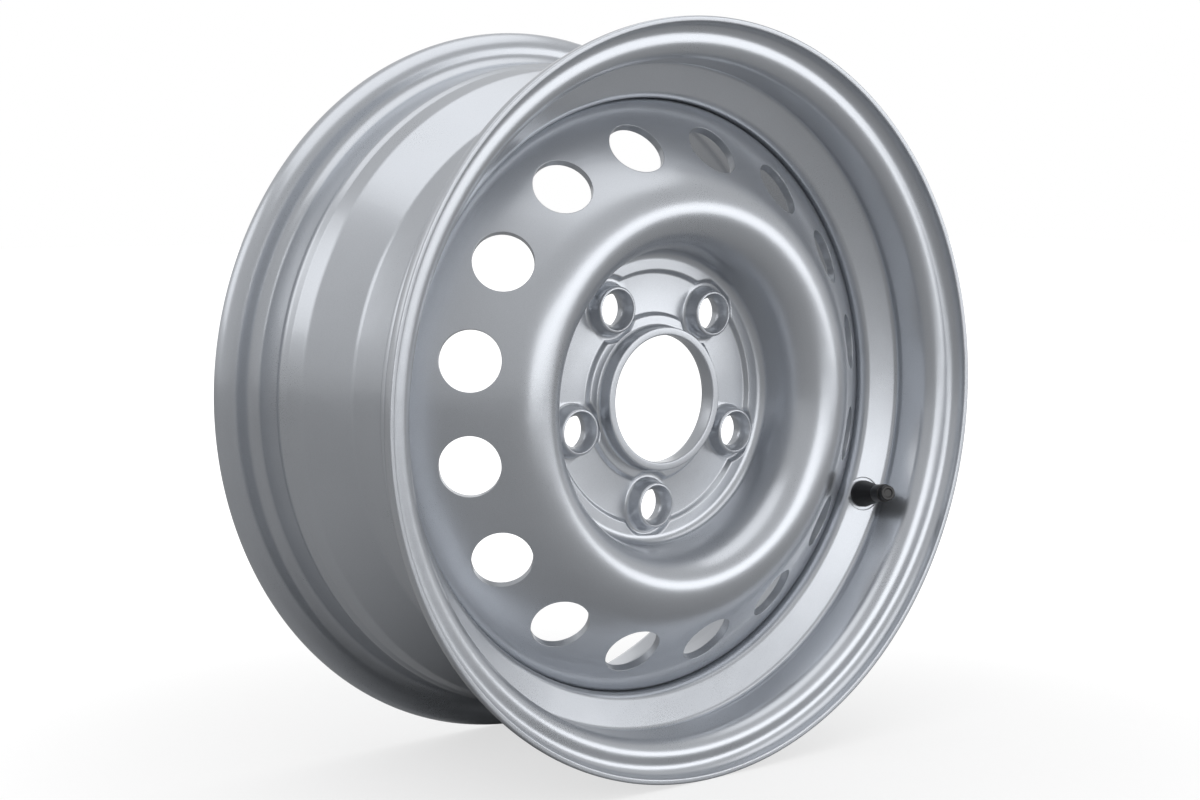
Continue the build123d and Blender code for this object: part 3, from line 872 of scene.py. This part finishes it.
class WHEEL_OT_spring(bpy.types.Operator):
    """Coil spring under the valve's pin, as long as the spring's node"""

    bl_idname = "trailer_wheel.spring"
    bl_label = "Spring"

    def execute(self, context):
        sizes = settings().valve
        foot, top = self.ends()
        spring = finished(
            self.coil(sizes, foot, top),
            "coil_spring",
            "wheel",
            turned_metal("drawn_wire", tuple(settings().finish.steel), 0.28),
            ["core_spring"],
        )
        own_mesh(spring)
        return {"FINISHED"}

    def ends(self):
        """Lowest and highest point of the spring's node along the valve's axis."""
        node = frame["nodes"]["core_spring"]
        to_valve = valve_place().inverted() @ node.matrix_world
        heights = [(to_valve @ vert.co).z for vert in node.data.vertices]
        return min(heights), max(heights)

    def coil(self, sizes, foot, top):
        steps = 24 * sizes.spring_turns
        rise = top - foot - 2 * sizes.spring_wire
        bm = bmesh.new()
        upright = Matrix.Rotation(math.pi / 2, 4, "X")
        start = Matrix.Translation((sizes.spring_coil, 0, foot + sizes.spring_wire)) @ upright
        bmesh.ops.create_circle(bm, segments=10, radius=sizes.spring_wire, matrix=start)
        bmesh.ops.spin(
            bm,
            geom=bm.verts[:] + bm.edges[:],
            cent=(0, 0, 0),
            axis=(0, 0, 1),
            dvec=(0, 0, rise / steps),
            angle=2 * math.pi * sizes.spring_turns,
            steps=steps,
        )
        bmesh.ops.holes_fill(bm, edges=[edge for edge in bm.edges if edge.is_boundary], sides=0)
        bmesh.ops.recalc_face_normals(bm, faces=bm.faces)
        bmesh.ops.transform(bm, matrix=valve_place(), verts=bm.verts)
        return bm


class WHEEL_OT_core(bpy.types.Operator):
    """Finishes of the weld seams, the valve's metal and its seals"""

    bl_idname = "trailer_wheel.core"
    bl_label = "Core and Seals"

    def execute(self, context):
        colours = settings().finish
        brass = turned_metal("turned_brass", tuple(colours.brass), 0.3)
        stem = turned_metal("stem_brass", tuple(colours.brass), 0.3, stem_thread)
        seal = moulded_rubber("sealing_rubber")
        finishes = {
            "rim_disc_welds": silver_paint("weld_paint", weld_scales),
            "valve_stem": stem,
            "core_plug": brass,
            "core_barrel": brass,
            "core_pin": brass,
            "core_cup": brass,
            "barrel_gasket": seal,
            "cup_seal": seal,
            "cap_seal": seal,
        }
        for name, material in finishes.items():
            node = frame["nodes"][name]
            node.data.materials.clear()
            node.data.materials.append(material)
        return {"FINISHED"}


class WHEEL_OT_stage(bpy.types.Operator):
    """Floor, sky, lamps and camera"""

    bl_idname = "trailer_wheel.stage"
    bl_label = "Stage"

    def execute(self, context):
        sizes = settings().stage
        self.paper()
        self.sky(sizes)
        self.softbox("top_softbox", (0.0, -0.1, 1.5), (2.2, 1.8), sizes.top_light)
        self.softbox("front_softbox", (0.75, -1.6, 0.2), (2.4, 0.7), sizes.front_light)
        self.softbox("right_softbox", (1.5, 1.5, 0.3), (1.6, 1.4), sizes.right_light)
        self.softbox("left_softbox", (-1.5, 1.0, 0.9), (1.2, 1.0), sizes.left_light)
        self.camera(sizes)
        context.scene.view_settings.view_transform = "Standard"
        return {"FINISHED"}

    def paper(self):
        """Wide floor of paper under the flanges."""
        bm = bmesh.new()
        depth = 9.0
        bmesh.ops.create_grid(bm, x_segments=1, y_segments=1, size=depth)
        bmesh.ops.translate(bm, vec=(0, 0, CAD_BOX[0].z), verts=bm.verts)
        mesh = bpy.data.meshes.new("floor")
        bm.to_mesh(mesh)
        bm.free()
        mesh.materials.append(stage_paper("floor_paper", tuple(settings().finish.floor)))
        floor = bpy.data.objects.new("floor", mesh)
        bpy.context.scene.collection.objects.link(floor)

    def sky(self, sizes):
        world = bpy.data.worlds.new("studio")
        bpy.context.scene.world = world
        world.use_nodes = True
        nodes, links = world.node_tree.nodes, world.node_tree.links
        even = nodes["Background"]
        even.inputs["Strength"].default_value = sizes.sky
        seen = nodes.new("ShaderNodeBackground")
        path = nodes.new("ShaderNodeLightPath")
        mix = nodes.new("ShaderNodeMixShader")
        even.inputs["Color"].default_value = (1, 1, 1, 1)
        seen.inputs["Color"].default_value = (1, 1, 1, 1)
        links.new(path.outputs["Is Camera Ray"], mix.inputs[0])
        links.new(even.outputs[0], mix.inputs[1])
        links.new(seen.outputs[0], mix.inputs[2])
        links.new(mix.outputs[0], nodes["World Output"].inputs["Surface"])

    def softbox(self, name, place, size, bright):
        lamp = bpy.data.lights.new(name, "AREA")
        lamp.shape = "RECTANGLE"
        lamp.size, lamp.size_y = size
        lamp.energy = bright * math.pi * lamp.size * lamp.size_y
        obj = bpy.data.objects.new(name, lamp)
        obj.location = place
        obj.rotation_mode = "QUATERNION"
        obj.rotation_quaternion = (-Vector(place)).to_track_quat("-Z", "Y")
        obj.visible_camera = False
        bpy.context.scene.collection.objects.link(obj)

    def camera(self, sizes):
        lens = bpy.data.cameras.new("camera")
        lens.lens = sizes.lens
        lens.sensor_width = 36.0
        lens.clip_start = 0.01
        obj = bpy.data.objects.new("camera", lens)
        flat = math.cos(sizes.elevation)
        across = math.sin(sizes.azimuth) * flat
        along = -math.cos(sizes.azimuth) * flat
        back = Vector((across, along, math.sin(sizes.elevation)))
        obj.location = sizes.camera
        obj.rotation_mode = "QUATERNION"
        obj.rotation_quaternion = (-back).to_track_quat("-Z", "Y")
        bpy.context.scene.collection.objects.link(obj)
        bpy.context.scene.camera = obj


class VIEW3D_PT_trailer_wheel(bpy.types.Panel):
    """Lists the wheel's pieces and their settings"""

    bl_label = "Trailer Wheel"
    bl_space_type = "VIEW_3D"
    bl_region_type = "UI"
    bl_category = "Wheel"

    def draw(self, context):
        layout = self.layout
        for operator in OPERATORS:
            layout.operator(operator.bl_idname)
        for group in ("rim", "disc", "valve", "finish", "stage"):
            box = layout.box()
            box.label(text=group.title())
            owner = getattr(settings(), group)
            for name in owner.__annotations__:
                box.prop(owner, name)


OPERATORS = (WHEEL_OT_rim, WHEEL_OT_disc, WHEEL_OT_valve, WHEEL_OT_spring, WHEEL_OT_core, WHEEL_OT_stage)
GROUPS = (RimSizes, DiscSizes, ValveSizes, FinishColours, StageSizes, WheelSettings)


def register():
    for item in (*GROUPS, *OPERATORS, VIEW3D_PT_trailer_wheel):
        bpy.utils.register_class(item)
    bpy.types.Scene.trailer_wheel = bpy.props.PointerProperty(type=WheelSettings)


def unregister():
    del bpy.types.Scene.trailer_wheel
    for item in reversed((*GROUPS, *OPERATORS, VIEW3D_PT_trailer_wheel)):
        bpy.utils.unregister_class(item)


def main():
    register()
    bpy.ops.trailer_wheel.rim()
    bpy.ops.trailer_wheel.disc()
    bpy.ops.trailer_wheel.valve()
    bpy.ops.trailer_wheel.spring()
    bpy.ops.trailer_wheel.core()
    bpy.ops.trailer_wheel.stage()


if __name__ == "__main__":
    main()
